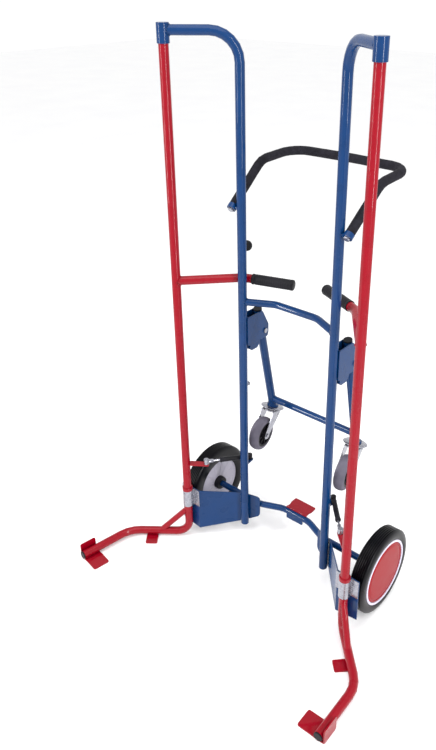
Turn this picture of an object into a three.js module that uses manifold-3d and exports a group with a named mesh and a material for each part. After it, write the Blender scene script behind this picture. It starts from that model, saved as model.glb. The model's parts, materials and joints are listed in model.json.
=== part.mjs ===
// Tyre trolley: a two-wheeled hand truck that lifts a wheel or a stack of tyres between two swinging
// arms. Blue fixed frame, red arms with gas springs, and a swing-out support frame on two castors.
// Millimetres. +Z is up, -Y is the side that faces the tyre, +Y is the side where the user stands.
import * as THREE from "three";
import { mergeVertices } from "three/addons/utils/BufferGeometryUtils.js";
import Module from "manifold-3d";

const wasm = await Module();
wasm.setup();

// ---------------------------------------------------------------- driving dimensions
const SIDES = { left: -1, right: 1 };
const GAP = 0.3; // left between pieces that touch
const SHEET = 3; // bent and flat sheet pieces

const TUBE = { outer: 12.5, inner: 10.5 }; // main tube, 25 x 2
const THIN_TUBE = { outer: 10, inner: 8 }; // cross tubes, 20 x 2

// Frame heights and plan places, with y = 0 on the line through both arm pivots.
const PIVOT_X = 294.7;
const UPRIGHT = { x: 152.4, y: 109.9, foot: 57.6 };
const TOP_TUBE_Z = 1530;
const TOP_BEND = 72;
const SLEEVE = { outer: 15.5, inner: 13.1, bottom: 1500.4, top: 1546.9, roof: 3 };
const UPPER_CROSS = { z: 835, cornerX: 68.7, cornerY: 152.3, bend: 45 };

const WHEEL = { radius: 125, width: 48, x: 315, y: 146, rim: 98.3, capRadius: 91, lip: 80, hubEnd: 282 };
const STUB_AXLE = 7.5;
const AXLE_BOW = { startX: 122, flatX: 48, depth: 32, bend: 70 };
const TREAD = { width: 79, front: 178, back: 229, thick: 4 };

const SADDLE = { bottom: 125.6, top: 184.5, halfWidth: 36, inner: 12.9, outer: 15.3, back: 14.6 };
// Bent sheet from the saddle to behind the upright: plan points, with the heights of both edges.
const SIDE_PLATE = {
  points: [[331, 16.4], [262, 16.4], [165.5, 122], [112, 136.5]],
  bottoms: [47, 38, 53, 88],
  tops: [184, 184.5, 161, 160],
};

// Push bar, as the right half of its centre line.
const PUSH_BAR = { tube: { outer: 8, inner: 6 }, foam: 12.5, bend: 57 };
const PUSH_BAR_FOOT = { x: 179.8, y: 104.4, z: 1099 };
const PUSH_BAR_KNEE = { x: 184.5, y: 231, z: 1200 };
const PUSH_BAR_CORNER = { x: 181, y: 370, z: 1206 };
const PUSH_BAR_MIDDLE = { y: 374, z: 1206.5 };
const SOCKET = { outer: 13, below: 5, above: 8 };

// Arms, drawn for the right side about the pivot: x points outwards.
const ARM_TURN = THREE.MathUtils.degToRad(-3.7); // both arms stand turned clockwise, seen from above
const ARM = {
  heelBend: 40,
  elbow: { reach: 194, angle: 48.2 },
  tip: { x: 159.5, y: -298.7 },
  z: 16.9, // tube centre over the floor
  elbowBend: 90,
};
const COLLAR = { radius: 16, height: 11 };
const BRACE = { outer: 9, inner: 7.2, topZ: 112, reach: 94 };
const HANDLE = { z: 894.6, knee: { x: -118.2, y: 142.4 }, tip: { x: -255.3, y: 194.4 }, bend: 58 };
const GRIP = { radius: 15, length: 120 };
const INNER_TOE = { reach: 45, width: 37, from: 101 };
const TIP_TOE = { reach: 63, length: 52, cheek: 46 };
const TOE_PLATE = { thick: 4, seat: 4.2 }; // the tube stands on the seat

// Gas springs lie level between a lever on the arm and a lug on the upright.
const LEVER_TIP = { x: -50.7, y: 38.3 };
const LUG_TIP = { x: 156.3, y: 140.7 };
const LINK = { z: 297, body: 7.5, rod: 3, eye: 8, plate: 5, bodyFrom: 10, bodyTo: 94 };

// Support frame: two legs that hang from brackets behind the uprights.
const LEG = { topY: 175, topZ: 788, footY: 247.3, footZ: 439, pivotZ: 722 };
const LEG_CROSS_Z = 462;
const BRACKET = { inside: 13.4, top: 788, bottom: 700, back: 205 };
const BOLT = 4; // radius of an M8 bolt
const CASTOR = { y: 247.6, z: 431, lean: 18, radius: 53, width: 32, drop: 84, trail: 38, plate: 36 };
const KNOB = { x: -160, y: 139, z: 988, radius: 15 };
const SPRING_BOLT = { x: -160, y: 138, z: 558 };
const CASTOR_SWIVEL = { left: 7, right: 11 }; // degrees that each wheel has turned

// ---------------------------------------------------------------- geometry helpers
const v3 = (x, y, z) => new THREE.Vector3(x, y, z);
const radians = THREE.MathUtils.degToRad;

// Circle, or ring when inner is given, with the given number of sides.
function round(outer, inner = 0) {
  const shape = new THREE.Shape().absarc(0, 0, outer, 0, Math.PI * 2);
  if (inner > 0) shape.holes.push(new THREE.Path().absarc(0, 0, inner, 0, Math.PI * 2));
  return shape;
}

// Polygon whose corners are rounded off.
function rounded(corners, radius) {
  const shape = new THREE.Shape();
  corners.forEach(([x, y], i) => {
    const corner = new THREE.Vector2(x, y);
    const before = new THREE.Vector2(...corners.at(i - 1));
    const after = new THREE.Vector2(...corners[(i + 1) % corners.length]);
    const into = corner.clone().add(before.sub(corner).setLength(radius));
    const outOf = corner.clone().add(after.sub(corner).setLength(radius));
    if (i === 0) shape.moveTo(into.x, into.y);
    else shape.lineTo(into.x, into.y);
    shape.quadraticCurveTo(x, y, outOf.x, outOf.y);
  });
  shape.closePath();
  return shape;
}

// Centre line of a bent tube: straight runs between corners, and an arc at each corner. The bend
// radius is one number, or a list with one for each inner corner.
class BentPath extends THREE.Curve {
  constructor(corners, bends, stepDegrees = 15) {
    super();
    this.stations = [];
    corners.forEach((corner, i) => {
      const bend = Array.isArray(bends) ? bends[i - 1] : bends;
      const before = corners[i - 1];
      const after = corners[i + 1];
      if (!before || !after) {
        const along = after ? after.clone().sub(corner) : corner.clone().sub(before);
        this.stations.push({ point: corner, tangent: along.normalize() });
        return;
      }
      const arriving = corner.clone().sub(before).normalize();
      const leaving = after.clone().sub(corner).normalize();
      const turn = arriving.angleTo(leaving);
      const axis = arriving.clone().cross(leaving).normalize();
      const start = corner.clone().addScaledVector(arriving, -bend * Math.tan(turn / 2));
      const toStart = arriving.clone().cross(axis).multiplyScalar(bend);
      const centre = start.clone().sub(toStart);
      const steps = Math.max(2, Math.round(THREE.MathUtils.radToDeg(turn) / stepDegrees));
      for (let k = 0; k <= steps; k += 1) {
        const angle = (turn * k) / steps;
        this.stations.push({
          point: toStart.clone().applyAxisAngle(axis, angle).add(centre),
          tangent: arriving.clone().applyAxisAngle(axis, angle),
        });
      }
    });
  }
  at(u) {
    return this.stations[Math.round(u * (this.stations.length - 1))];
  }
  getPointAt(u) {
    return this.at(u).point.clone();
  }
  getTangentAt(u) {
    return this.at(u).tangent.clone();
  }
}

// Tube, or solid bar when inner is 0, along corners joined by bends.
function bentTube(corners, bend, { outer, inner = 0 }, halfSides = 8) {
  const path = new BentPath(corners, bend);
  return new THREE.ExtrudeGeometry(round(outer, inner), {
    steps: path.stations.length - 1,
    extrudePath: path,
    curveSegments: halfSides,
  });
}

// Straight round bar or tube from one point to another.
function bar(from, to, outer, inner = 0, halfSides = 8) {
  return bentTube([from, to], 0, { outer, inner }, halfSides);
}

// Flat plate: the outline in X and Y, its thickness along +Z.
function flat(shape, thickness) {
  return new THREE.ExtrudeGeometry(shape, {
    depth: thickness,
    bevelEnabled: false,
    curveSegments: 4,
  });
}

// Stands a flat sheet up so that it faces X: its outline's first axis becomes Y and its second Z.
function facingX(sheet) {
  return sheet.rotateX(Math.PI / 2).rotateZ(Math.PI / 2);
}

// Upright sheet: the outline's first axis runs along `heading` in plan and its second is height.
// The sheet's middle stands on the line that starts at x, y.
function standing(shape, thickness, x, y, heading) {
  const sheet = flat(shape, thickness).translate(0, 0, -thickness / 2);
  return sheet.rotateX(Math.PI / 2).rotateZ(heading).translate(x, y, 0);
}

// Turned piece about +Z from a profile of [radius, height] points.
function turned(profile, sides = 32) {
  const points = profile.map(([r, z]) => new THREE.Vector2(r, z));
  return new THREE.LatheGeometry(points, sides).rotateX(Math.PI / 2);
}

function toSolid(geometry) {
  const bare = geometry.index ? geometry.toNonIndexed() : geometry.clone();
  bare.deleteAttribute("normal");
  bare.deleteAttribute("uv");
  const merged = mergeVertices(bare, 1e-3);
  return new wasm.Manifold(
    new wasm.Mesh({
      numProp: 3,
      vertProperties: merged.attributes.position.array,
      triVerts: new Uint32Array(merged.index.array),
    }),
  );
}

function toGeometry(solid) {
  const mesh = solid.getMesh();
  return new THREE.BufferGeometry()
    .setAttribute("position", new THREE.BufferAttribute(mesh.vertProperties, 3))
    .setIndex(new THREE.BufferAttribute(mesh.triVerts, 1))
    .toNonIndexed();
}

function join(...pieces) {
  return toGeometry(pieces.map(toSolid).reduce((sum, next) => sum.add(next)));
}

function cut(piece, ...tools) {
  return toGeometry(tools.map(toSolid).reduce((left, tool) => left.subtract(tool), toSolid(piece)));
}

function paint(color, roughness, metalness) {
  return new THREE.MeshStandardMaterial({ color, roughness, metalness });
}

const blue = () => paint(0x24508c, 0.35, 0.1);
const red = () => paint(0xb5162a, 0.35, 0.1);
const zinc = () => paint(0xb4b4b8, 0.35, 0.8);
const blackPlastic = () => paint(0x1c1b20, 0.6, 0);
const foam = () => paint(0x2c2a33, 0.9, 0);
const tyreRubber = () => paint(0x17161c, 0.7, 0);
const greyRubber = () => paint(0x7d7887, 0.6, 0);
const palePlastic = () => paint(0xc9c6d6, 0.5, 0);

function piece(parent, name, geometry, material) {
  const mesh = new THREE.Mesh(geometry, material);
  mesh.name = name;
  parent.add(mesh);
}

const trolley = new THREE.Group();

// ---------------------------------------------------------------- fixed frame
// Point on the axis of a support leg at the given height.
function legPoint(sign, z) {
  const share = (LEG.topZ - z) / (LEG.topZ - LEG.footZ);
  return v3(sign * UPRIGHT.x, LEG.topY + share * (LEG.footY - LEG.topY), z);
}

// Solid that clears an upright, to cut the ends of the tubes that meet it.
function uprightClearance(sign) {
  const { x, y } = UPRIGHT;
  return bar(v3(sign * x, y, 0), v3(sign * x, y, TOP_TUBE_Z - TOP_BEND), TUBE.outer + GAP);
}

function pushBarPoints(sign) {
  return [PUSH_BAR_FOOT, PUSH_BAR_KNEE, PUSH_BAR_CORNER].map((p) => v3(sign * p.x, p.y, p.z));
}

// Direction of the push bar where it leaves its socket.
function pushBarDirection(sign) {
  const [foot, knee] = pushBarPoints(sign);
  return knee.sub(foot).normalize();
}

// Upright with its top bend, the push bar's socket and the gas spring's lug, all welded.
function uprightSolid(sign) {
  const { x, y, foot } = UPRIGHT;
  const tube = bentTube(
    [v3(sign * x, y, foot), v3(sign * x, y, TOP_TUBE_Z), v3(sign * PIVOT_X, 0, TOP_TUBE_Z)],
    TOP_BEND,
    TUBE,
  );
  const sleeveClearance = bar(
    v3(sign * PIVOT_X, 0, SLEEVE.bottom - 1),
    v3(sign * PIVOT_X, 0, SLEEVE.top + 1),
    SLEEVE.outer + GAP,
  );
  const lugOutline = [
    [x - 8, y + 10], [x + 9, y + 10],
    [LUG_TIP.x + 9, LUG_TIP.y + 8], [LUG_TIP.x - 9, LUG_TIP.y + 8],
  ];
  const lug = flat(rounded(lugOutline.map(([a, b]) => [sign * a, b]), 4), LINK.plate);
  lug.translate(0, 0, LINK.z - LINK.eye - GAP - LINK.plate);
  const [barFoot] = pushBarPoints(sign);
  const along = pushBarDirection(sign);
  const { below, above, outer } = SOCKET;
  const socketFrom = barFoot.clone().addScaledVector(along, -below);
  const socketTo = barFoot.clone().addScaledVector(along, above);
  const bridge = bar(v3(sign * (x + TUBE.inner), y - 3, barFoot.z), barFoot, 4.5);
  const socket = join(bar(socketFrom, socketTo, outer), bridge);
  const bore = bar(
    socketFrom.clone().addScaledVector(along, -1),
    socketTo.clone().addScaledVector(along, 1),
    PUSH_BAR.tube.outer + 2 * GAP,
  );
  return join(cut(tube, sleeveClearance), lug, cut(socket, bore));
}

// Cap that closes the top tube and turns freely round the head of the arm.
function topSleeve() {
  const { inner, outer, bottom, top, roof } = SLEEVE;
  const profile = [
    [0, top - roof], [inner, top - roof], [inner, bottom], [outer, bottom], [outer, top], [0, top],
  ];
  return turned(profile, 24);
}

function upperCrossTube() {
  const { z, cornerX, cornerY, bend } = UPPER_CROSS;
  const tube = bentTube(
    [
      v3(-UPRIGHT.x, UPRIGHT.y, z), v3(-cornerX, cornerY, z),
      v3(cornerX, cornerY, z), v3(UPRIGHT.x, UPRIGHT.y, z),
    ],
    bend,
    THIN_TUBE,
  );
  return cut(tube, uprightClearance(-1), uprightClearance(1));
}

// Sheet bent at the saddle and again behind the upright, tapering towards its inner end.
function sidePlate(sign) {
  const { points, bottoms, tops } = SIDE_PLATE;
  const panels = points.slice(1).map((end, i) => {
    const start = points[i];
    const dx = sign * (end[0] - start[0]);
    const dy = end[1] - start[1];
    const length = Math.hypot(dx, dy);
    const outline = [[0, bottoms[i]], [length, bottoms[i + 1]], [length, tops[i + 1]], [0, tops[i]]];
    const freeEnd = i === points.length - 2;
    const corners = outline.map((p) => new THREE.Vector2(...p));
    const shape = freeEnd ? roundedEnd(outline, 12) : new THREE.Shape(corners);
    return standing(shape, SHEET, sign * start[0], start[1], Math.atan2(dy, dx));
  });
  const bends = points.slice(1, -1).map(([x, y], i) =>
    bar(v3(sign * x, y, bottoms[i + 1]), v3(sign * x, y, tops[i + 1]), SHEET / 2, 0, 4),
  );
  return join(...panels, ...bends);
}

// Four-sided outline with only its second and third corners rounded.
function roundedEnd([a, b, c, d], radius) {
  const shape = new THREE.Shape();
  const toward = (from, to) => {
    const start = new THREE.Vector2(...from);
    return start.add(new THREE.Vector2(...to).sub(start).setLength(radius));
  };
  shape.moveTo(...a);
  shape.lineTo(...toward(b, a));
  shape.quadraticCurveTo(...b, ...toward(b, c));
  shape.lineTo(...toward(c, b));
  shape.quadraticCurveTo(...c, ...toward(c, d));
  shape.lineTo(...d);
  return shape;
}

// Clip that holds the foot of the arm against the side plate, as a section along the pivot.
function pivotSaddle() {
  const { bottom, top, halfWidth, inner, outer, back } = SADDLE;
  const front = back - (outer - inner);
  const shape = new THREE.Shape();
  shape.moveTo(-halfWidth, back).lineTo(-halfWidth, front).lineTo(-outer, front).lineTo(-outer, 0);
  shape.absarc(0, 0, outer, Math.PI, Math.PI * 2);
  shape.lineTo(outer, front).lineTo(halfWidth, front).lineTo(halfWidth, back).lineTo(inner, back);
  shape.absarc(0, 0, inner, 0, -Math.PI, true);
  shape.lineTo(-inner, back).closePath();
  const depth = top - bottom;
  const solid = new THREE.ExtrudeGeometry(shape, { depth, bevelEnabled: false, curveSegments: 12 });
  return solid.translate(0, 0, bottom);
}

// Axle tube with its bow behind the tread plate, the plate's bracket and both stub axles.
function axleSolid() {
  const { x, y, radius, width, hubEnd } = WHEEL;
  const { startX, flatX, depth, bend } = AXLE_BOW;
  const end = hubEnd - 0.5;
  const corner = (cx, cy) => v3(cx, cy, radius);
  const tube = bentTube(
    [
      corner(-end, y), corner(-startX, y), corner(-flatX, y + depth),
      corner(flatX, y + depth), corner(startX, y), corner(end, y),
    ],
    bend,
    { outer: THIN_TUBE.outer },
  );
  const stubEnd = x + width / 2 - 7;
  const stubs = bar(v3(-stubEnd, y, radius), v3(stubEnd, y, radius), STUB_AXLE);
  const middle = new THREE.BoxGeometry(2 * (end - 4), 60, 60).translate(0, y, radius);
  const bracket = flat(rounded([[-30, -13], [30, -13], [30, 11], [-30, 11]], 3), 4);
  bracket.rotateX(Math.PI / 2).translate(0, y + depth - 6, radius - 6);
  return join(tube, cut(stubs, middle), bracket);
}

function addFrame() {
  for (const [side, sign] of Object.entries(SIDES)) {
    piece(trolley, `upright_${side}`, uprightSolid(sign), blue());
    piece(trolley, `top_sleeve_${side}`, topSleeve().translate(sign * PIVOT_X, 0, 0), blue());
    piece(trolley, `side_plate_${side}`, sidePlate(sign), blue());
    piece(trolley, `pivot_saddle_${side}`, pivotSaddle().translate(sign * PIVOT_X, 0, 0), zinc());
  }
  piece(trolley, "upper_cross_tube", upperCrossTube(), blue());
  piece(trolley, "axle", axleSolid(), blue());
  piece(trolley, "tread_plate", treadPlate(), red());
}

// Foot plate on top of the axle tube, with a hollow in each side edge.
function treadPlate() {
  const { width, front, back, thick } = TREAD;
  const half = width / 2;
  const neck = half - 6;
  const shape = new THREE.Shape();
  shape.moveTo(-half, front).lineTo(half, front);
  shape.quadraticCurveTo(neck, front + 14, half, front + 26);
  shape.lineTo(half, back - 6).quadraticCurveTo(half, back, half - 6, back);
  shape.lineTo(6 - half, back).quadraticCurveTo(-half, back, -half, back - 6);
  shape.lineTo(-half, front + 26).quadraticCurveTo(-neck, front + 14, -half, front);
  return flat(shape, thick).translate(0, 0, WHEEL.radius + THIN_TUBE.outer + GAP);
}

// ---------------------------------------------------------------- push bar
function addPushBar() {
  const right = pushBarPoints(1);
  const left = pushBarPoints(-1);
  const middle = v3(0, PUSH_BAR_MIDDLE.y, PUSH_BAR_MIDDLE.z);
  const steel = [...left, middle, ...right.reverse()];
  piece(trolley, "push_bar_tube", bentTube(steel, PUSH_BAR.bend, PUSH_BAR.tube, 6), blue());
  const skin = steel.map((point) => point.clone());
  skin[0].addScaledVector(pushBarDirection(-1), SOCKET.above + GAP);
  skin.at(-1).addScaledVector(pushBarDirection(1), SOCKET.above + GAP);
  const hollow = { outer: PUSH_BAR.foam, inner: PUSH_BAR.tube.outer + GAP };
  piece(trolley, "push_bar_foam", bentTube(skin, PUSH_BAR.bend, hollow, 8), foam());
  for (const [side, sign] of Object.entries(SIDES)) {
    piece(trolley, `push_bar_bolt_${side}`, pushBarBolt(sign), zinc());
  }
}

// Screw that draws the push bar into its socket from below.
function pushBarBolt(sign) {
  const [foot] = pushBarPoints(sign);
  const along = pushBarDirection(sign);
  const at = (distance) => foot.clone().addScaledVector(along, distance);
  const seat = -SOCKET.below - GAP;
  return join(bar(at(seat - 5), at(seat), 8.5, 0, 3), bar(at(seat - 1), at(SOCKET.above), BOLT, 0, 5));
}

// ---------------------------------------------------------------- wheels
// Turned about +Z, which is the wheel's outer side; the group lays the axis along X.
function addWheel(side, sign) {
  const wheel = new THREE.Group();
  wheel.position.set(sign * WHEEL.x, WHEEL.y, WHEEL.radius);
  wheel.rotation.y = (sign * Math.PI) / 2;
  trolley.add(wheel);
  const half = WHEEL.width / 2;
  const { radius, rim, capRadius, lip, hubEnd } = WHEEL;
  const hub = hubEnd - WHEEL.x;
  const tyre = [
    [lip + GAP, -half + 2], [lip + 6, -half], [radius - 17, -half], [radius - 5, -half + 6],
    [radius, -half + 15], [radius, half - 15], [radius - 5, half - 6], [radius - 17, half],
    [rim + 4, half], [rim + GAP, half - 2], [rim + GAP, -half + 14], [lip + GAP, -half + 10],
    [lip + GAP, -half + 2],
  ];
  const bore = STUB_AXLE + GAP;
  const dish = [
    [bore, hub], [20, hub], [20, -half + 7], [lip - 4, -half + 7], [lip, -half + 2], [lip, -half + 10],
    [rim, -half + 14], [rim, half - 0.5], [capRadius + GAP, half - 0.5], [capRadius + GAP, -half + 14],
    [20, -half + 14], [20, half - 8], [bore, half - 8], [bore, hub],
  ];
  const cover = [[0, half - 5], [capRadius, half - 5], [capRadius, half - 2], [0, half - 2]];
  piece(wheel, `wheel_tyre_${side}`, turned(tyre, 48), tyreRubber());
  piece(wheel, `wheel_rim_${side}`, turned(dish, 48), palePlastic());
  piece(wheel, `wheel_cap_${side}`, turned(cover, 48), red());
}

// ---------------------------------------------------------------- arms
// Everything on an arm is drawn about its pivot; x is multiplied by sign, so it points outwards.
function armPath(sign, from) {
  const elbow = radians(ARM.elbow.angle);
  const { reach } = ARM.elbow;
  return [
    v3(0, 0, from),
    v3(0, 0, ARM.z),
    v3(sign * reach * Math.sin(elbow), -reach * Math.cos(elbow), ARM.z),
    v3(sign * ARM.tip.x, ARM.tip.y, ARM.z),
  ];
}

// Tube along the arm's path, from the given height under the pivot to the tip.
function armTube(sign, { outer, inner = 0 }, from) {
  return bentTube(armPath(sign, from), [ARM.heelBend, ARM.elbowBend], { outer, inner });
}

// Places a piece drawn with the tube along -Y at a point of the arm that heads `angle` outwards.
function onArm(geometry, sign, x, y, angle) {
  return geometry.rotateZ(sign * angle).translate(sign * x, y, 0);
}

// Main tube with the collar that rests on the saddle and the lever for the gas spring.
function armSolid(sign) {
  const tube = armTube(sign, TUBE, SLEEVE.top - SLEEVE.roof - 0.5);
  const collarBottom = SADDLE.top + GAP;
  const collar = bar(
    v3(0, 0, collarBottom),
    v3(0, 0, collarBottom + COLLAR.height),
    COLLAR.radius,
    TUBE.inner + 0.5,
  );
  const { x, y } = LEVER_TIP;
  const length = Math.hypot(x, y);
  const outline = [[TUBE.inner + 0.5, -10], [length + 8, -8], [length + 8, 8], [TUBE.inner + 0.5, 10]];
  const lever = flat(rounded(outline, 4), LINK.plate).translate(0, 0, LINK.z - LINK.eye - GAP - LINK.plate);
  lever.rotateZ(Math.atan2(y, sign * x));
  return join(tube, collar, lever);
}

function brace(sign) {
  const elbow = radians(ARM.elbow.angle);
  const { topZ, reach, outer, inner } = BRACE;
  const foot = v3(sign * reach * Math.sin(elbow), -reach * Math.cos(elbow), ARM.z);
  const tube = bar(v3(0, 0, topZ), foot, outer, inner);
  return cut(tube, armTube(sign, { outer: TUBE.outer + GAP }, SADDLE.bottom));
}

// Flat toe with a raised seat under the tube, so the rest of its top lies clear of the tube.
function toePlate(sign, [inside, outside], [near, far], corner) {
  const slab = (from, thick) => {
    const corners = [[from, near], [outside, near], [outside, far], [from, far]];
    return flat(rounded(corners.map(([x, y]) => [sign * x, y]), corner), thick);
  };
  return join(slab(inside, TOE_PLATE.thick), slab(-TUBE.outer - corner, TOE_PLATE.seat));
}

function innerToe(sign) {
  const { reach, width, from } = INNER_TOE;
  const plate = toePlate(sign, [-reach, 0], [-from, -from - width], 5);
  return onArm(plate, sign, 0, 0, radians(ARM.elbow.angle));
}

// Angle of the last run of the arm, outwards from straight ahead.
function tipAngle() {
  const [, , elbow, tip] = armPath(1, 0);
  return Math.atan2(tip.x - elbow.x, elbow.y - tip.y);
}

// Angle plate under the tip: the toe lies on the floor and the cheek stands outside the tube.
function tipToe(sign) {
  const { reach, length, cheek } = TIP_TOE;
  const cheekX = TUBE.outer + 1;
  const toe = toePlate(sign, [-reach, cheekX + 3.5], [0, length], 6);
  const side = facingX(flat(rounded([[0, 0], [length, 0], [length, cheek], [0, cheek]], 6), 3.5));
  side.translate(sign > 0 ? cheekX : -cheekX - 3.5, 0, 0);
  return onArm(join(toe, side), sign, ARM.tip.x, ARM.tip.y, tipAngle());
}

function tipCap(sign) {
  const angle = tipAngle();
  const forward = v3(sign * Math.sin(angle), -Math.cos(angle), 0);
  const tip = v3(sign * ARM.tip.x, ARM.tip.y, ARM.z);
  const at = (distance) => tip.clone().addScaledVector(forward, distance);
  return join(bar(at(GAP), at(4), TUBE.outer - 0.5), bar(at(-12), at(1), TUBE.inner - GAP));
}

function handlePoints(sign) {
  const { z, knee, tip } = HANDLE;
  return [v3(0, 0, z), v3(sign * knee.x, knee.y, z), v3(sign * tip.x, tip.y, z)];
}

function handleTube(sign) {
  const [root, knee, tip] = handlePoints(sign);
  const back = knee.clone().sub(tip).setLength(7);
  const tube = bentTube([root, knee, tip.clone().add(back)], HANDLE.bend, TUBE);
  return cut(tube, bar(v3(0, 0, HANDLE.z - 40), v3(0, 0, HANDLE.z + 40), TUBE.outer + GAP));
}

function handleGrip(sign) {
  const [, knee, tip] = handlePoints(sign);
  const inwards = tip.clone().sub(knee).normalize();
  const at = (distance) => tip.clone().addScaledVector(inwards, -distance);
  return cut(bar(tip, at(GRIP.length), GRIP.radius), bar(at(5), at(GRIP.length + 1), TUBE.outer + GAP));
}

function addArm(side, sign) {
  const arm = new THREE.Group();
  arm.position.x = sign * PIVOT_X;
  arm.rotation.z = ARM_TURN;
  trolley.add(arm);
  piece(arm, `arm_${side}`, armSolid(sign), red());
  piece(arm, `arm_brace_${side}`, brace(sign), red());
  piece(arm, `inner_toe_${side}`, innerToe(sign), red());
  piece(arm, `tip_toe_${side}`, tipToe(sign), red());
  piece(arm, `tip_cap_${side}`, tipCap(sign), blackPlastic());
  piece(arm, `handle_tube_${side}`, handleTube(sign), red());
  piece(arm, `handle_grip_${side}`, handleGrip(sign), blackPlastic());
}

// ---------------------------------------------------------------- gas springs
function addGasSpring(side, sign) {
  const lug = v3(sign * LUG_TIP.x, LUG_TIP.y, LINK.z);
  const lever = v3(sign * LEVER_TIP.x, LEVER_TIP.y, LINK.z);
  lever.applyAxisAngle(v3(0, 0, 1), ARM_TURN).add(v3(sign * PIVOT_X, 0, 0));
  const along = lever.clone().sub(lug).normalize();
  const at = (distance) => lug.clone().addScaledVector(along, distance);
  const back = (distance) => lever.clone().addScaledVector(along, -distance);
  const eye = (p) => bar(v3(p.x, p.y, p.z - LINK.eye), v3(p.x, p.y, p.z + LINK.eye), LINK.eye, 0, 6);
  const { body, rod, bodyFrom, bodyTo } = LINK;
  const bore = bar(at(bodyFrom + 8), at(bodyTo + 1), rod + GAP, 0, 5);
  const shell = cut(bar(at(bodyFrom), at(bodyTo), body), bore);
  const neck = bar(lug, at(bodyFrom + 2), 5, 0, 5);
  piece(trolley, `spring_cylinder_${side}`, join(shell, eye(lug), neck), blackPlastic());
  const stem = bar(at(bodyFrom + 22), lever, rod, 0, 5);
  piece(trolley, `spring_rod_${side}`, join(stem, eye(lever), bar(back(22), lever, 5.5, 0, 5)), zinc());
}

// ---------------------------------------------------------------- support frame and its brackets
function addSupportFrame() {
  for (const [side, sign] of Object.entries(SIDES)) {
    piece(trolley, `support_bracket_${side}`, supportBracket(sign), blue());
    piece(trolley, `support_bolt_${side}`, supportBolt(sign), zinc());
    piece(trolley, `support_leg_${side}`, supportLeg(sign), blue());
    piece(trolley, `leg_cap_${side}`, legCap(sign), blackPlastic());
    piece(trolley, `leg_catch_${side}`, legCatch(side, sign), blue());
    addCastor(side, sign);
  }
  const ends = [legPoint(-1, LEG_CROSS_Z), legPoint(1, LEG_CROSS_Z)];
  const clear = [-1, 1].map((sign) => bar(legPoint(sign, 500), legPoint(sign, 440), TUBE.outer + GAP));
  const tube = cut(bar(...ends, THIN_TUBE.outer, THIN_TUBE.inner), ...clear);
  piece(trolley, "support_cross_tube", tube, blue());
  piece(trolley, "release_knob", releaseKnob(), blackPlastic());
  piece(trolley, "spring_bolt", springBolt(), zinc());
}

// Channel of two cheeks and a web, open at the top, bottom and back.
function supportBracket(sign) {
  const { inside, top, bottom, back } = BRACKET;
  const { x, y } = UPRIGHT;
  const outline = [
    [y + 3, bottom], [back - 4, bottom], [back, bottom + 12], [back, 738], [178, top], [y + 3, top],
  ];
  const cheeks = [-inside - SHEET, inside].map((offset) =>
    facingX(flat(rounded(outline, 5), SHEET)).translate(sign * x + offset, 0, 0),
  );
  const web = new THREE.BoxGeometry(2 * inside + 2, SHEET, top - bottom - 10);
  web.translate(sign * x, y + TUBE.outer + GAP + SHEET / 2, (top + bottom) / 2);
  return cut(join(web, ...cheeks), pivotBore(sign, BOLT + GAP));
}

// Bar on the pivot line of a support leg, between two distances from the middle of its upright.
function alongPivot(sign, from, to, radius, halfSides) {
  const pivot = legPoint(sign, LEG.pivotZ);
  const at = (distance) => v3(sign * UPRIGHT.x + distance, pivot.y, pivot.z);
  return bar(at(from), at(to), radius, 0, halfSides);
}

function pivotBore(sign, radius) {
  const reach = BRACKET.inside + 10;
  return alongPivot(sign, -reach, reach, radius, 6);
}

function supportBolt(sign) {
  const outside = BRACKET.inside + SHEET + GAP;
  const along = (from, to, radius, halfSides) => alongPivot(sign, from, to, radius, halfSides);
  return join(
    along(-outside - 4, outside + 4, BOLT, 6),
    along(-outside - 4, -outside, 7.5, 3),
    along(outside, outside + 4, 7.5, 6),
  );
}

// Leg tube with the bored pivot and the boss that carries the castor.
function supportLeg(sign) {
  const lean = radians(CASTOR.lean);
  const seat = v3(sign * UPRIGHT.x, CASTOR.y, CASTOR.z);
  const up = v3(0, Math.sin(lean), Math.cos(lean));
  const boss = bar(seat.clone().addScaledVector(up, GAP), seat.clone().addScaledVector(up, 8), 18);
  const tube = bar(legPoint(sign, LEG.topZ), legPoint(sign, LEG.footZ), TUBE.outer, TUBE.inner);
  return cut(join(tube, boss), pivotBore(sign, BOLT + GAP));
}

function legCap(sign) {
  const top = legPoint(sign, LEG.topZ);
  const up = top.clone().sub(legPoint(sign, LEG.footZ)).normalize();
  const at = (distance) => top.clone().addScaledVector(up, distance);
  return join(bar(at(GAP), at(5), TUBE.outer), bar(at(-12), at(1), TUBE.inner - GAP));
}

// Block between the cheeks that keeps the leg folded; the left one carries the pull rod.
function legCatch(side, sign) {
  const half = BRACKET.inside - 1;
  const outline = [[127, 714], [127, 684], [134, 677], [159, 677], [171, 690], [171, 714]];
  const block = flat(rounded(outline, 3), 2 * half).rotateX(Math.PI / 2).rotateZ(Math.PI / 2);
  block.translate(sign * UPRIGHT.x - half, 0, 0);
  if (side === "right") return block;
  const { x, y, z } = SPRING_BOLT;
  return join(block, bar(v3(x, y - 4, z + 8), v3(x, y - 4, 680), 2, 0, 5));
}

function releaseKnob() {
  const { x, y, z, radius } = KNOB;
  const ball = new THREE.SphereGeometry(radius, 20, 12).translate(x, y, z);
  const surface = UPRIGHT.y + Math.sqrt(TUBE.outer ** 2 - (x + UPRIGHT.x) ** 2);
  return join(ball, bar(v3(x, surface + 3, z), v3(x, y, z), 5, 0, 6));
}

// Screw in the left upright that anchors the catch's pull rod.
function springBolt() {
  const { x, y, z } = SPRING_BOLT;
  return join(bar(v3(x, y - 14, z), v3(x, y, z), BOLT, 0, 6), bar(v3(x, y, z), v3(x, y + 5, z), 7, 0, 3));
}

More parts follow.
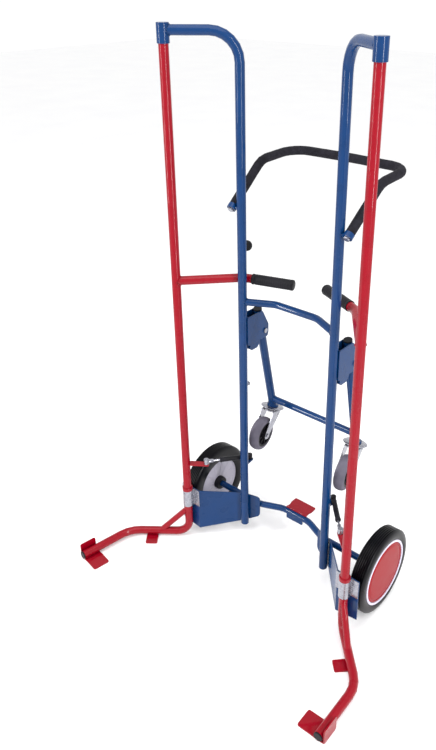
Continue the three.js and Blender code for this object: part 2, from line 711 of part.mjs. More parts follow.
// ---------------------------------------------------------------- castors
function addCastor(side, sign) {
  const castor = new THREE.Group();
  castor.position.set(sign * UPRIGHT.x, CASTOR.y, CASTOR.z);
  castor.rotation.x = -radians(CASTOR.lean);
  trolley.add(castor);
  const swivel = new THREE.Group();
  swivel.rotation.z = radians(CASTOR_SWIVEL[side]);
  castor.add(swivel);
  const { plate, radius, width, drop, trail } = CASTOR;
  const head = [[0, -9], [24, -9], [26, -4], [plate, -4], [plate, 0], [0, 0]];
  piece(castor, `castor_head_${side}`, turned(head, 28), zinc());
  piece(swivel, `castor_fork_${side}`, castorFork(), zinc());
  const half = width / 2;
  const tread = radius - 14;
  const tyre = [
    [tread, -half], [radius - 4, -half], [radius, -half + 6],
    [radius, half - 6], [radius - 4, half], [tread, half], [tread, -half],
  ];
  const bore = BOLT + GAP;
  const hub = [
    [bore, -half - 2], [12, -half - 2], [12, -8], [tread - 6, -8], [tread - 6, -half + 1],
    [tread - GAP, -half + 1], [tread - GAP, half - 1], [tread - 6, half - 1], [tread - 6, 8],
    [12, 8], [12, half + 2], [bore, half + 2], [bore, -half - 2],
  ];
  const wheel = new THREE.Group();
  wheel.position.set(0, -trail, -drop);
  wheel.rotation.y = Math.PI / 2;
  swivel.add(wheel);
  piece(wheel, `castor_tyre_${side}`, turned(tyre, 28), greyRubber());
  piece(wheel, `castor_hub_${side}`, turned(hub, 28), blackPlastic());
}

// Pressed fork: a round crown, two legs that rake forwards to the axle, and the axle bolt.
function castorFork() {
  const { width, drop, trail } = CASTOR;
  const inner = width / 2 + 4;
  const crown = bar(v3(0, 0, -14), v3(0, 0, -9.3), 27, 0, 12);
  const outline = [
    [20, -10], [-27, -10], [-trail - 13, -drop + 4],
    [-trail - 10, -drop - 12], [-trail + 9, -drop - 12], [-trail + 13, -drop + 2],
  ];
  const legs = [-inner - 2.5, inner].map((offset) =>
    facingX(flat(rounded(outline, 6), 2.5)).translate(offset, 0, 0),
  );
  const at = (distance) => v3(distance, -trail, -drop);
  const axle = bar(at(-inner - 6), at(inner + 6), BOLT, 0, 6);
  const heads = [-inner - 6, inner + 2].map((from) => bar(at(from), at(from + 4), 7, 0, 3));
  return join(crown, ...legs, axle, ...heads);
}

// ---------------------------------------------------------------- assembly
addFrame();
addPushBar();
addSupportFrame();
for (const [side, sign] of Object.entries(SIDES)) {
  addWheel(side, sign);
  addArm(side, sign);
  addGasSpring(side, sign);
}

// The part's origin is on the floor, in the middle of its outline seen from above.
const bounds = new THREE.Box3().setFromObject(trolley, true);
const middle = bounds.getCenter(v3(0, 0, 0));
trolley.position.set(-middle.x, -middle.y, 0);
const part = new THREE.Group();
part.add(trolley);

export default part;
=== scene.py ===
"""Looks of the tyre trolley: finishes, worked edges, wheels, castors, foam, welds, camera and light."""

import json
import math

import bmesh
import bpy
import numpy as np
from mathutils import Matrix, Vector, noise


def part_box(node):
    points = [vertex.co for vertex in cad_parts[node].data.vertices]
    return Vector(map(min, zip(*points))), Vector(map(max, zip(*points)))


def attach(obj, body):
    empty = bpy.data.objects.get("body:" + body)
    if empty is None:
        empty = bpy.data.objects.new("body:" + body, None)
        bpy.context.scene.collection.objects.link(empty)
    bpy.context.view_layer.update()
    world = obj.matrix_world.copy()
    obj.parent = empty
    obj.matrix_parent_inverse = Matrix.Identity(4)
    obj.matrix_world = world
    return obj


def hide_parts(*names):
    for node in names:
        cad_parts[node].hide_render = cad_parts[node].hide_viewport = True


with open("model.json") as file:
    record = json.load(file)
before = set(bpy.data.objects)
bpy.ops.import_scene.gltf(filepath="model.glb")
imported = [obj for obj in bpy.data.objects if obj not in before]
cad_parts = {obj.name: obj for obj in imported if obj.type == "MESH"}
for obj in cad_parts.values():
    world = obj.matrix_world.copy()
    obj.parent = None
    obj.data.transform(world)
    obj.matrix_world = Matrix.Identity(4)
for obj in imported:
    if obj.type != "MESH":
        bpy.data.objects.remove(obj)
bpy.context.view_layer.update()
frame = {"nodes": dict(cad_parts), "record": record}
record = frame["record"]
JOINTS = {joint["name"]: joint for joint in record["behaviour"]["joints"]}
BODY_OF = {node: body for body, nodes in record["behaviour"]["bodies"].items() for node in nodes}
SLOT_OF = {part["node"]: part["material_slot"] for part in record["subparts"]}
SIDES = {"left": -1, "right": 1}
UP = Vector((0, 0, 1))
MM = 0.001

TUBE = 0.0125  # outer radius of the main tubes, in metres as all lengths here
THIN_TUBE = 10 * MM  # outer radius of the support frame's cross tube
BRACE = 9 * MM  # outer radius of the arm braces
SLEEVE = 15.5 * MM  # outer radius of the sleeves on top of the uprights
SNUG = 0.4 * MM  # gap between a tube and what fits over it
SHARP = math.radians(40)  # edges with a larger angle stay sharp or are bevelled
MERGE = 1e-6  # vertices closer than this are one


# ---------------------------------------------------------------- finishes
def linear(red, green, blue):
    """A display colour, 0 to 255 a channel, as the linear colour that shaders take."""
    return tuple(((c / 255 + 0.055) / 1.055) ** 2.4 if c > 10 else c / 3295 for c in (red, green, blue))


def finish_of(
    name, light, dark, roughness, metallic=0.0, patch=25, grain=600, depth=0.03, **shader
):
    """Material whose colour and gloss wander between two values, with a fine grain in its surface.

    patch and grain are in cycles per metre, depth is the grain's height in millimetres, and
    shader holds further sockets of the shader, with _ for a space.
    """
    made = bpy.data.materials.new(name)
    made.use_nodes = True
    nodes, links = made.node_tree.nodes, made.node_tree.links
    surface = nodes["Principled BSDF"]
    surface.inputs["Metallic"].default_value = metallic
    for socket, value in shader.items():
        surface.inputs[socket.replace("_", " ")].default_value = value
    place = nodes.new("ShaderNodeTexCoord")

    blotch = nodes.new("ShaderNodeTexNoise")
    blotch.inputs["Scale"].default_value = patch
    links.new(place.outputs["Object"], blotch.inputs["Vector"])

    shade = nodes.new("ShaderNodeValToRGB")
    shade.color_ramp.elements[0].position = 0.3
    shade.color_ramp.elements[0].color = (*linear(*dark), 1)
    shade.color_ramp.elements[1].position = 0.7
    shade.color_ramp.elements[1].color = (*linear(*light), 1)
    links.new(blotch.outputs["Fac"], shade.inputs["Fac"])
    links.new(shade.outputs["Color"], surface.inputs["Base Color"])

    gloss = nodes.new("ShaderNodeMapRange")
    gloss.inputs["To Min"].default_value = roughness * 0.8
    gloss.inputs["To Max"].default_value = roughness * 1.2
    links.new(blotch.outputs["Fac"], gloss.inputs["Value"])
    links.new(gloss.outputs["Result"], surface.inputs["Roughness"])

    fine = nodes.new("ShaderNodeTexNoise")
    fine.inputs["Scale"].default_value = grain
    fine.inputs["Detail"].default_value = 3
    links.new(place.outputs["Object"], fine.inputs["Vector"])
    bump = nodes.new("ShaderNodeBump")
    bump.inputs["Strength"].default_value = 0.5
    bump.inputs["Distance"].default_value = depth * MM
    links.new(fine.outputs["Fac"], bump.inputs["Height"])
    links.new(bump.outputs["Normal"], surface.inputs["Normal"])
    return made


PAINT = {
    "grain": 420,
    "depth": 0.03,
    "Coat_Weight": 0.34,
    "Coat_Roughness": 0.04,
    "Specular_IOR_Level": 0.1,
}
MATT = {"Specular_IOR_Level": 0.16}

# Light colour, dark colour, roughness, and what differs from finish_of's own values.
LOOKS = {
    "frame_blue": ((2, 48, 96), (2, 45, 90), 0.28, PAINT),
    "arm_red": ((136, 0, 22), (131, 0, 20), 0.28, PAINT),
    "zinc": ((168, 168, 176), (140, 141, 150), 0.26, {"metallic": 0.95, "patch": 160, "depth": 0.008}),
    "black_plastic": ((24, 23, 29), (14, 14, 18), 0.45, {"grain": 900, "depth": 0.06, **MATT}),
    "foam": ((32, 31, 38), (18, 17, 23), 0.8, {"patch": 90, "grain": 1100, "depth": 0.5, **MATT}),
    "tyre_rubber": ((8, 7, 13), (4, 4, 8), 0.3, {"grain": 700, "depth": 0.04, **MATT}),
    "castor_rubber": ((104, 100, 113), (86, 83, 95), 0.6, {"grain": 700, "depth": 0.08, **MATT}),
    "pale_plastic": ((176, 172, 184), (160, 156, 170), 0.4, {"grain": 500, "depth": 0.04}),
    "cap_red": ((140, 0, 15), (136, 0, 14), 0.36, {"grain": 300, "depth": 0.03, **MATT}),
    "weld_blue": ((2, 46, 92), (2, 38, 78), 0.34, {"grain": 900, "depth": 0.15, **MATT}),
    "weld_red": ((132, 0, 20), (116, 0, 16), 0.34, {"grain": 900, "depth": 0.15, **MATT}),
    "ring_white": ((206, 203, 222), (196, 192, 212), 0.4, {"grain": 500, "depth": 0.03}),
}
FINISHES = {
    name: finish_of(name, light, dark, roughness, **rest)
    for name, (light, dark, roughness, rest) in LOOKS.items()
}
WELD_FINISH = {"frame_blue": "weld_blue", "arm_red": "weld_red"}


# ---------------------------------------------------------------- making pieces
def mesh_of(name, shape):
    """Mesh with the faces of a bmesh, which is freed."""
    mesh = bpy.data.meshes.new(name)
    shape.to_mesh(mesh)
    shape.free()
    return mesh


def place_piece(name, mesh, body, slot, finish=None, replaces=()):
    """Mesh in the row frame as a piece on a body; its finish is its slot's unless another is named."""
    piece = bpy.data.objects.new(name, mesh)
    bpy.context.scene.collection.objects.link(piece)
    mesh.materials.clear()
    mesh.materials.append(FINISHES[finish or slot])
    mesh.shade_smooth()
    mesh.set_sharp_from_angle(angle=SHARP)
    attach(piece, body)
    if replaces:
        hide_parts(*replaces)
    return piece


def soften(piece, width, segments=2):
    """Rounds the sharp edges of a piece, as pressing, turning or moulding leaves them."""
    bevel = piece.modifiers.new("soft_edges", "BEVEL")
    bevel.width = width
    bevel.segments = segments
    bevel.limit_method = "ANGLE"
    bevel.angle_limit = SHARP
    bevel.harden_normals = True
    return piece


def solid_of(node):
    """The CAD solid of a node as a bmesh whose triangles share their vertices."""
    shape = bmesh.new()
    shape.from_mesh(frame["nodes"][node].data)
    bmesh.ops.remove_doubles(shape, verts=shape.verts, dist=MERGE)
    return shape


def worked(node, edge=0.7 * MM):
    """The CAD solid again, with its flat faces whole and its edges rounded."""
    shape = solid_of(node)
    bmesh.ops.dissolve_limit(shape, angle_limit=math.radians(1), verts=shape.verts, edges=shape.edges)
    bmesh.ops.recalc_face_normals(shape, faces=shape.faces)
    name = f"{node}_worked"
    piece = place_piece(name, mesh_of(name, shape), BODY_OF[node], SLOT_OF[node], replaces=[node])
    return soften(piece, edge)


def across(direction):
    """Two unit vectors square to a direction and to each other."""
    first = direction.orthogonal().normalized()
    return first, direction.cross(first).normalized()


def spokes(axis, count, shift=0):
    """Unit vectors square to an axis, evenly round it, all turned on by a part of one step."""
    u, w = across(axis)
    angles = [math.tau * (i + shift) / count for i in range(count)]
    return [math.cos(angle) * u + math.sin(angle) * w for angle in angles]


def outline(points, radius=0, along=0):
    """Lathe profile in metres, from (radius, distance) pairs in millimetres and where they start."""
    return [(radius + across_mm * MM, along + along_mm * MM) for across_mm, along_mm in points]


def loft(name, rings, closed_along=False):
    """Mesh through rings of points; a ring with one point closes the end."""
    shape = bmesh.new()
    rows = [[shape.verts.new(point) for point in ring] for ring in rings]
    pairs = list(zip(rows, rows[1:]))
    if closed_along:
        pairs.append((rows[-1], rows[0]))
    for near, far in pairs:
        count = max(len(near), len(far))
        for i in range(count):
            j = (i + 1) % count
            corners = [near[i % len(near)], near[j % len(near)], far[j % len(far)], far[i % len(far)]]
            shape.faces.new(list(dict.fromkeys(corners)))
    bmesh.ops.recalc_face_normals(shape, faces=shape.faces)
    return mesh_of(name, shape)


def turned(name, profile, centre, axis, around=96):
    """Lathe work: profile holds (radius, distance along the axis) pairs and may close on itself."""
    outwards = spokes(axis, around)
    closed = profile[0] == profile[-1]
    rings = []
    for radius, along in profile[:-1] if closed else profile:
        middle = centre + axis * along
        rings.append([middle + radius * out for out in outwards] if radius else [middle])
    return loft(name, rings, closed)


def add_bar(shape, middle, directions, size):
    """Adds a box to a bmesh, its sides along three directions that are square to each other."""
    turn = Matrix(directions).transposed().to_4x4()
    stretch = Matrix.Diagonal((*size, 1))
    bmesh.ops.create_cube(shape, size=1, matrix=Matrix.Translation(middle) @ turn @ stretch)


WELD_STEPS = 48  # rings along a bead of weld
WELD_RIPPLES = 12
BEAD_SIDES = 8
COLLAR_SIDES = 10


def weld(name, run, branch, body, slot, bead=2.2 * MM):
    """Bead of weld where a branch tube meets the side of a run tube.

    run is a point on its middle line, its direction and its radius, and branch is a direction and
    a radius. Each line along the branch's skin is followed to where it leaves the run tube.
    """
    run_point, run_way, run_radius = run
    branch_way, branch_radius = branch
    run_way, branch_way = run_way.normalized(), branch_way.normalized()
    turns = [math.tau * k / BEAD_SIDES for k in range(BEAD_SIDES)]
    rings = []
    for i, out in enumerate(spokes(branch_way, WELD_STEPS)):
        reach = branch_radius * out
        flat_reach = reach - reach.dot(run_way) * run_way
        flat_branch = branch_way - branch_way.dot(run_way) * run_way
        a = flat_branch.length_squared
        b = 2 * flat_reach.dot(flat_branch)
        c = flat_reach.length_squared - run_radius**2
        along = (-b + math.sqrt(max(b * b - 4 * a * c, 0))) / (2 * a)
        centre = run_point + reach + along * branch_way
        size = bead * (0.8 + 0.2 * math.sin(i * math.tau * WELD_RIPPLES / WELD_STEPS))
        rings.append([centre + size * (math.cos(t) * out + math.sin(t) * branch_way) for t in turns])
    return place_piece(name, loft(name, rings, closed_along=True), body, slot, WELD_FINISH[slot])


def collar_weld(name, centre, radius, body, slot, bead=1.8 * MM):
    """Bead of weld round an upright tube."""
    turns = [math.tau * k / COLLAR_SIDES for k in range(COLLAR_SIDES)]
    profile = [(radius + bead * math.cos(t), bead * math.sin(t)) for t in turns]
    mesh = turned(name, [*profile, profile[0]], centre, UP)
    return place_piece(name, mesh, body, slot, WELD_FINISH[slot])


# ---------------------------------------------------------------- places, read from the frame
def centre_of(node):
    low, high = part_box(node)
    return (low + high) / 2


def vertices_of(node):
    return np.array([vertex.co for vertex in frame["nodes"][node].data.vertices], float)


def long_axis(node):
    """Ends of the line through the middle of a long solid."""
    points = vertices_of(node)
    middle = points.mean(0)
    direction = np.linalg.svd(points - middle, full_matrices=False)[2][0]
    reach = (points - middle) @ direction
    centre = middle + direction * (reach.max() + reach.min()) / 2
    half = direction * (reach.max() - reach.min()) / 2
    return Vector(centre - half), Vector(centre + half)


def joint_line(name):
    """A point on a joint's axis and the axis's direction."""
    joint = JOINTS[name]
    return Vector(joint["pos_m"]), Vector(joint["axis"]).normalized()


def distances_in_plan(points, point):
    """How far each of some points lies from one point, seen from above."""
    return np.linalg.norm(points[:, :2] - np.array(point)[:2], axis=1)


# ---------------------------------------------------------------- road wheels
# Outlines are (radius, distance) pairs in millimetres, and distances grow towards the outer side
# of the wheel. The comment before an outline says what its distances are measured from.

# Outer face of the tyre, and radii from the tread.
SHOULDER = ((-26.5, -2), (-22, -0.2), (-15, 0), (-8, -0.9), (-3.5, -3), (-1, -5), (0, -6.5))
# Inner face of the tyre, and the root's radius from the tread.
BEAD_SEAT = ((84, 0.6), (80.5, 2.5), (80.5, 9.5))
BEAD_ROOT = ((-26.5, 14.5),)
# Outer face of the tyre.
CAP = (
    (0, -0.8), (40, -0.9), (72, -1.4), (82, -1.8), (83, -2.6), (84.5, -2.6),
    (85.5, -1.6), (89.6, -1.9), (90.8, -3), (90.8, -5), (0, -5),
)
CAP_RING = ((91.2, -1), (92, -0.1), (97, -0.1), (98, -1), (98, -3), (91.2, -3), (91.2, -1))
# End of the hub, except the rim, which is from the inner face of the tyre.
COVER_FRONT = ((8.2, 0), (17, 0), (20.5, 1), (21.5, 3))
COVER_RIM = ((21.5, 7.6), (20.1, 7.6))
COVER_BACK = ((20.1, 0.25), (8.2, 0.25), (8.2, 0))

AROUND_WHEEL = 120

TREAD_GROOVES = 6
GROOVE_PITCH = 6 * MM
GROOVE_DEPTH = 4 * MM
GROOVE_WIDTH = 3 * MM

SIPES = 60  # on each shoulder
SIPE_SIZE = (7 * MM, 2.2 * MM, 1.6 * MM)
SIPE_BELOW_TREAD = 4.6 * MM
SIPE_FROM_FACE = 5.6 * MM

RIBS = 12
RIB_SIZE = (50 * MM, 3 * MM, 3 * MM)
RIB_MIDDLE = 49 * MM  # radius of a rib's middle
RIB_DEPTH = 7.6 * MM  # from the wheel's inner face to the ribs' middle


def groove(profile, at):
    """Adds a groove round the tread to a profile that runs towards smaller distances."""
    radius = profile[-1][0]
    floor = radius - GROOVE_DEPTH
    profile += [(radius, at + GROOVE_WIDTH / 2), (floor, at + GROOVE_WIDTH / 4)]
    profile += [(floor, at - GROOVE_WIDTH / 4), (radius, at - GROOVE_WIDTH / 2)]


def tyre_profile(radius, half):
    """Section of the tyre: outer shoulder, grooved tread, inner shoulder and the seat on the rim."""
    shoulder = outline(SHOULDER, radius, half)
    profile = list(shoulder)
    for step in range(TREAD_GROOVES):
        groove(profile, ((TREAD_GROOVES - 1) / 2 - step) * GROOVE_PITCH)
    profile += [(r, -along) for r, along in reversed(shoulder[1:])]
    profile += outline(BEAD_SEAT, 0, -half)
    return [*profile, *outline(BEAD_ROOT, radius, -half), shoulder[0]]


def add_road_wheel(side, sign):
    centre, _ = joint_line(f"road_wheel_{side}_spin")
    axis = Vector((sign, 0, 0))
    low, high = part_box(f"wheel_tyre_{side}")
    half = (high.x - low.x) / 2
    radius = (high.z - low.z) / 2
    body = f"road_wheel_{side}"

    def lathe(name, profile, slot, around=AROUND_WHEEL, **settings):
        mesh = turned(f"{name}_{side}", profile, centre, axis, around)
        place_piece(f"{name}_{side}", mesh, body, slot, **settings)

    lathe("tyre", tyre_profile(radius, half), "tyre_rubber", replaces=[f"wheel_tyre_{side}"])
    add_sipes(side, centre, axis, half, radius, body)
    worked(f"wheel_rim_{side}", 0.9 * MM)
    add_rim_ribs(side, centre, axis, half, body)
    lathe("cap", outline(CAP, 0, half), "cap_red", replaces=[f"wheel_cap_{side}"])
    lathe("rim_ring", outline(CAP_RING, 0, half), "pale_plastic", finish="ring_white")

    hub_end = -(np.abs(vertices_of(f"wheel_rim_{side}")[:, 0] - centre.x).max() + 0.3 * MM)
    cover = outline(COVER_FRONT, 0, hub_end) + outline(COVER_RIM, 0, -half)
    lathe("bearing_cover", cover + outline(COVER_BACK, 0, hub_end), "black_plastic", around=64)


def add_sipes(side, centre, axis, half, radius, body):
    """Short raised bars on both shoulders of the tyre, close together all the way round."""
    shape = bmesh.new()
    for face in (-1, 1):
        for out in spokes(axis, SIPES, 0.5 * (face > 0)):
            middle = centre + out * (radius - SIPE_BELOW_TREAD) + axis * face * (half - SIPE_FROM_FACE)
            sideways = axis.cross(out)
            slant = (out * 0.7 - axis * face * 0.7).normalized()
            add_bar(shape, middle, (slant, sideways, slant.cross(sideways)), SIPE_SIZE)
    name = f"tyre_sipes_{side}"
    soften(place_piece(name, mesh_of(name, shape), body, "tyre_rubber"), 0.4 * MM, 1)


def add_rim_ribs(side, centre, axis, half, body):
    """Radial ribs on the inner face of the rim."""
    shape = bmesh.new()
    for out in spokes(axis, RIBS):
        middle = centre + out * RIB_MIDDLE + axis * (-half + RIB_DEPTH)
        add_bar(shape, middle, (out, axis.cross(out), axis), RIB_SIZE)
    name = f"rim_ribs_{side}"
    soften(place_piece(name, mesh_of(name, shape), body, "pale_plastic"), 0.8 * MM)


# ---------------------------------------------------------------- castors
CASTOR_CORNER = 6 * MM  # from a side face of the tyre solid in to its widest ring
CASTOR_CROWN = 3.5 * MM  # how much the tread falls off towards its edges
CROWN_STEPS = (1, 0.66, 0.33, 0, -0.33, -0.66, -1)
TREAD_DEPTH = 14 * MM
TREAD_SIDE = 9 * MM  # from the top of the tread to where its side goes straight
CASTOR_SPOKES = 8
SPOKE_WIDTH = 2.4 * MM
RACE = (  # from the seat under the cross tube
    (0, -0.3), (34, -0.3), (36, -1.4), (36, -3), (34.5, -4), (28, -4.2), (26, -6.5), (23, -8.8), (0, -8.8),
)


def add_castor_wheel(side):
    """Crowned tread, hub and the spokes on the hub."""
    centre, axis = joint_line(f"castor_{side}_spin")
    body = f"castor_wheel_{side}"
    corners = vertices_of(f"castor_tyre_{side}") - np.array(centre)
    half = (corners @ np.array(axis)).max()
    widest = np.linalg.norm(corners, axis=1).max()
    radius = math.sqrt(widest**2 - (half - CASTOR_CORNER) ** 2)
    tread = radius - TREAD_DEPTH

    inner = tread + 0.2 * MM
    side_top = radius - TREAD_SIDE
    crown = [(radius - CASTOR_CROWN * t**2, half * 0.8 * t) for t in CROWN_STEPS]
    profile = [(inner, half), (side_top, half), *crown, (side_top, -half), (inner, -half), (inner, half)]
    name = f"castor_tread_{side}"
    mesh = turned(name, profile, centre, axis)
    place_piece(name, mesh, body, "castor_rubber", replaces=[f"castor_tyre_{side}"])
    worked(f"castor_hub_{side}", 0.6 * MM)

    shape = bmesh.new()
    size = (tread - 18 * MM, SPOKE_WIDTH, 2 * half - 5 * MM)
    for out in spokes(axis, CASTOR_SPOKES):
        middle = centre + out * (tread + 6 * MM) / 2
        add_bar(shape, middle, (out, axis.cross(out), axis), size)
    name = f"castor_spokes_{side}"
    soften(place_piece(name, mesh_of(name, shape), body, "black_plastic"), 0.5 * MM)


def add_castor_head(side):
    """Fork with rounded edges, and the turned race that it swivels in."""
    worked(f"castor_fork_{side}", 1.1 * MM)
    _, swivel = joint_line(f"castor_{side}_swivel")
    node = f"castor_head_{side}"
    mesh = turned(f"castor_race_{side}", outline(RACE), seat_on_cross_tube(node, swivel), swivel, 72)
    place_piece(f"castor_race_{side}", mesh, BODY_OF[node], "zinc", replaces=[node])


def seat_on_cross_tube(node, swivel):
    """Middle of the top face of a castor's head."""
    points = vertices_of(node)
    heights = points @ np.array(swivel)
    return Vector(points[heights > heights.max() - 0.2 * MM].mean(0))


# ---------------------------------------------------------------- soft and moulded parts
FOAM_EDGE = 12 * MM  # edges longer than this are divided
FOAM_LUMPS = 90  # cycles of unevenness per metre
FOAM_SWELL = 0.35 * MM
FOAM_INSET = 0.2 * MM  # how far the skin is drawn in before it swells

# Outlines in millimetres, with what their distances are measured from.
GRIP_FLANGE = ((14.6, 0), (15, 1), (15, 4), (14.2, 5.5))  # inner end
GRIP_RING = ((14.4, 0), (14.8, 1.5), (14.8, 4), (14.4, 5.5))  # where the ring starts
GRIP_END = ((14.9, -8), (15, -6), (15, -4), (14, -1.4), (12, -0.3), (0, 0))  # closed end
GRIP_FIRST_RING = 10 * MM
GRIP_PITCH = 6.5 * MM
GRIP_PLAIN_END = 18 * MM
SPRING_BAND = ((7.5, 88), (8.3, 88.6), (8.3, 92), (7.5, 93), (7.5, 88))  # the spring's lug


def add_foam():
    """Foam sleeve of the push bar: the tube's shape with a slightly uneven, open-pored skin."""
    shape = solid_of("push_bar_foam")
    bmesh.ops.recalc_face_normals(shape, faces=shape.faces)
    long_edges = [edge for edge in shape.edges if edge.calc_length() > FOAM_EDGE]
    bmesh.ops.subdivide_edges(shape, edges=long_edges, cuts=6, use_grid_fill=True)
    shape.normal_update()
    for vertex in shape.verts:
        swell = noise.noise(vertex.co * FOAM_LUMPS) * FOAM_SWELL
        vertex.co += vertex.normal * (swell - FOAM_INSET)
    mesh = mesh_of("foam_sleeve", shape)
    sleeve = place_piece("foam_sleeve", mesh, BODY_OF["push_bar_foam"], "foam", replaces=["push_bar_foam"])


def add_grip(side):
    """Moulded hand grip: a flange at the inner end, shallow rings and a rim at the closed end."""
    node = f"handle_grip_{side}"
    root = centre_of(f"handle_tube_{side}")
    near, far = sorted(long_axis(node), key=lambda end: (end - root).length)
    axis = (far - near).normalized()
    length = (far - near).length
    profile = [(TUBE + SNUG, 0), *outline(GRIP_FLANGE)]
    at = GRIP_FIRST_RING
    while at < length - GRIP_PLAIN_END:
        profile += outline(GRIP_RING, 0, at)
        at += GRIP_PITCH
    profile += outline(GRIP_END, 0, length)
    mesh = turned(f"grip_{side}", profile, near, axis, 64)
    place_piece(f"grip_{side}", mesh, BODY_OF[node], "black_plastic", replaces=[node])


def add_gas_spring(side):
    """Cylinder and rod with rounded edges, and a band round the rod's end of the cylinder."""
    node = f"spring_cylinder_{side}"
    worked(node, 0.8 * MM)
    worked(f"spring_rod_{side}", 0.6 * MM)
    lug, _ = joint_line(f"gas_cylinder_{side}_swing")
    axis = max(long_axis(node), key=lambda end: (end - lug).length) - lug
    axis.z = 0
    axis.normalize()
    mesh = turned(f"spring_band_{side}", outline(SPRING_BAND), lug, axis, 48)
    place_piece(f"spring_band_{side}", mesh, BODY_OF[node], "black_plastic")


# ---------------------------------------------------------------- welds
CROSS_CORNER = 0.0687  # from the middle of the upper cross tube to the point of each of its bends
COLLAR_RISE = 11.4 * MM  # from the top of the pivot saddle to the weld on top of the arm's collar
BRACE_FOOT = 16.9 * MM  # height of the brace's middle line at its foot
BRACE_TOP = 6 * MM  # from the top of the brace down to the middle of its weld
FINE_BEAD = 1.8 * MM


def upright_line(side, height):
    """Point on the middle line of an upright, found from the end of its foot."""
    points = vertices_of(f"upright_{side}")
    foot = points[points[:, 2] < points[:, 2].min() + 1 * MM]
    low, high = foot.min(0), foot.max(0)
    return Vector(((low[0] + high[0]) / 2, (low[1] + high[1]) / 2, height))


def pivot_line(side, height):
    """Point on the upright line that an arm turns about."""
    sleeve = centre_of(f"top_sleeve_{side}")
    return Vector((sleeve.x, sleeve.y, height))


def farthest(node, point):
    """Mean of the vertices of a node that lie farthest from a point in plan."""
    points = vertices_of(node)
    gaps = distances_in_plan(points, point)
    return Vector(points[gaps > gaps.max() - 6 * MM].mean(0))


def nearest(node, point):
    """Mean of the vertices of a node that lie nearest to a point in plan."""
    points = vertices_of(node)
    gaps = distances_in_plan(points, point)
    return Vector(points[gaps < gaps.min() + 30 * MM].mean(0))


def add_frame_welds(side, sign):
    """Upright to cross tube, and upright to top sleeve."""
    cross_low, cross_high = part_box("upper_cross_tube")
    cross_radius = (cross_high.z - cross_low.z) / 2
    upright = upright_line(side, cross_low.z + cross_radius)
    corner_x = (cross_low.x + cross_high.x) / 2 + sign * CROSS_CORNER
    bend = Vector((corner_x, cross_high.y - cross_radius, upright.z))
    run = (upright, UP, TUBE)
    weld(f"cross_weld_{side}", run, (bend - upright, cross_radius), "frame", "frame_blue")

    head = pivot_line(side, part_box(f"upright_{side}")[1].z - TUBE)
    towards = upright_line(side, head.z) - head
    weld(f"sleeve_weld_{side}", (head, UP, SLEEVE), (towards, TUBE), "frame", "frame_blue")


def add_arm_welds(side):
    """Arm to handle, to collar and to brace."""
    body = f"arm_{side}_body"
    handle = f"handle_tube_{side}"
    root = pivot_line(side, centre_of(handle).z)
    handle_root = nearest(handle, root)
    handle_root.z = root.z
    weld(f"handle_weld_{side}", (root, UP, TUBE), (handle_root - root, TUBE), body, "arm_red")

    collar = pivot_line(side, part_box(f"pivot_saddle_{side}")[1].z + COLLAR_RISE)
    collar_weld(f"collar_weld_{side}", collar, TUBE + SNUG, body, "arm_red")

    brace = f"arm_brace_{side}"
    foot = farthest(brace, pivot_line(side, 0))
    foot.z = BRACE_FOOT
    top = pivot_line(side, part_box(brace)[1].z - BRACE_TOP)
    weld(f"brace_weld_{side}", (top, UP, TUBE), (foot - top, BRACE), body, "arm_red", FINE_BEAD)


def add_leg_weld(side, sign):
    """Leg of the support frame to its cross tube."""
    leg_low, leg_high = long_axis(f"support_leg_{side}")
    leg = (leg_high - leg_low).normalized()
    tube = centre_of("support_cross_tube")
    reach = (tube.z - leg_low.z) / leg.z
    crossing = leg_low + leg * reach
    inwards = (Vector((-sign, 0, 0)), THIN_TUBE)
    weld(f"leg_weld_{side}", (crossing, leg, TUBE), inwards, "support_frame", "frame_blue", FINE_BEAD)


# ---------------------------------------------------------------- the trolley
REBUILT = ("wheel_", "castor_", "handle_grip", "spring_cylinder", "spring_rod", "push_bar_foam")
for node in frame["nodes"]:
    if not node.startswith(REBUILT):
        worked(node)
for side, sign in SIDES.items():
    add_road_wheel(side, sign)
    add_castor_wheel(side)
    add_castor_head(side)
    add_grip(side)
    add_gas_spring(side)
    add_frame_welds(side, sign)
    add_arm_welds(side)
    add_leg_weld(side, sign)
add_foam()


# ---------------------------------------------------------------- floor, light and camera
FLOOR_HALF = 14
FLOOR_SHADE = 250  # display brightness, 0 to 255
MIDDLE = (0, 0, 0.8)  # what the softboxes point at
STRIP = (0.22, 2.4)  # width and height of the side softboxes


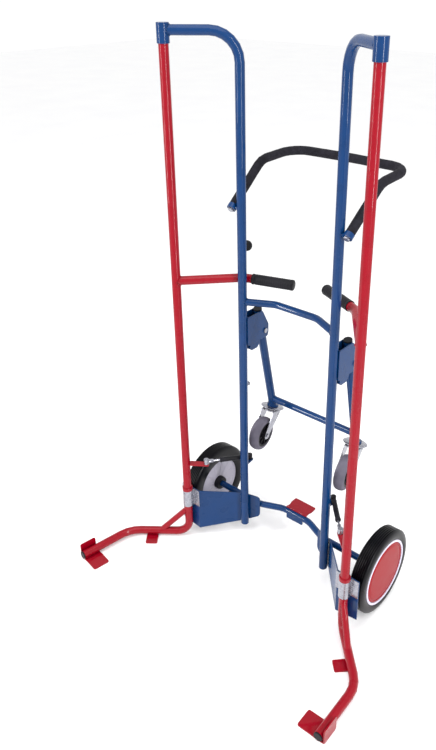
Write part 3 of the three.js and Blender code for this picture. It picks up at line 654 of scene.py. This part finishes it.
def add_floor():
    """Wide matt off-white floor with a trace of unevenness."""
    corners = [(x * FLOOR_HALF, y * FLOOR_HALF, 0) for x, y in ((-1, -1), (1, -1), (1, 1), (-1, 1))]
    shape = bmesh.new()
    shape.faces.new([shape.verts.new(corner) for corner in corners])
    mesh = mesh_of("floor", shape)
    light = (FLOOR_SHADE, FLOOR_SHADE, FLOOR_SHADE)
    dark = (FLOOR_SHADE - 3, FLOOR_SHADE - 3, FLOOR_SHADE - 2)
    mesh.materials.append(finish_of("studio_floor", light, dark, 0.9, patch=2, depth=0.01))
    floor = bpy.data.objects.new("floor", mesh)
    bpy.context.scene.collection.objects.link(floor)


def add_world(brightness):
    """Even white light from all round."""
    world = bpy.data.worlds.new("studio")
    world.use_nodes = True
    background = world.node_tree.nodes["Background"]
    background.inputs["Color"].default_value = (1, 1, 1, 1)
    background.inputs["Strength"].default_value = brightness
    bpy.context.scene.world = world


def add_softbox(name, place, size, power):
    lamp = bpy.data.lights.new(name, "AREA")
    lamp.shape = "RECTANGLE"
    lamp.size, lamp.size_y = size
    lamp.energy = power
    holder = bpy.data.objects.new(name, lamp)
    bpy.context.scene.collection.objects.link(holder)
    holder.location = place
    holder.rotation_euler = (Vector(MIDDLE) - Vector(place)).to_track_quat("-Z", "Y").to_euler()


def add_camera(place, down, heading, focal_length, shift):
    """Camera that looks down from level and towards a heading, both in degrees."""
    lens = bpy.data.cameras.new("camera")
    lens.sensor_width = 36
    lens.lens = focal_length
    lens.shift_x, lens.shift_y = shift
    holder = bpy.data.objects.new("camera", lens)
    bpy.context.scene.collection.objects.link(holder)
    holder.location = place
    holder.rotation_euler = (math.radians(90 - down), 0, math.radians(heading))
    bpy.context.scene.camera = holder


add_floor()
add_world(1.03)
bpy.context.scene.view_settings.view_transform = "Standard"
add_softbox("softbox_left", (-1.5, -2.4, 1.7), STRIP, 52)
add_softbox("softbox_right", (2.4, -0.7, 1.7), STRIP, 52)
add_softbox("softbox_top", (0.2, -0.6, 3.4), (2.4, 2.4), 40)
add_camera(
    place=(1.0601, -1.3002, 1.6604),
    down=25.898,
    heading=39.49,
    focal_length=34.876,
    shift=(-0.0558, -0.0727),
)
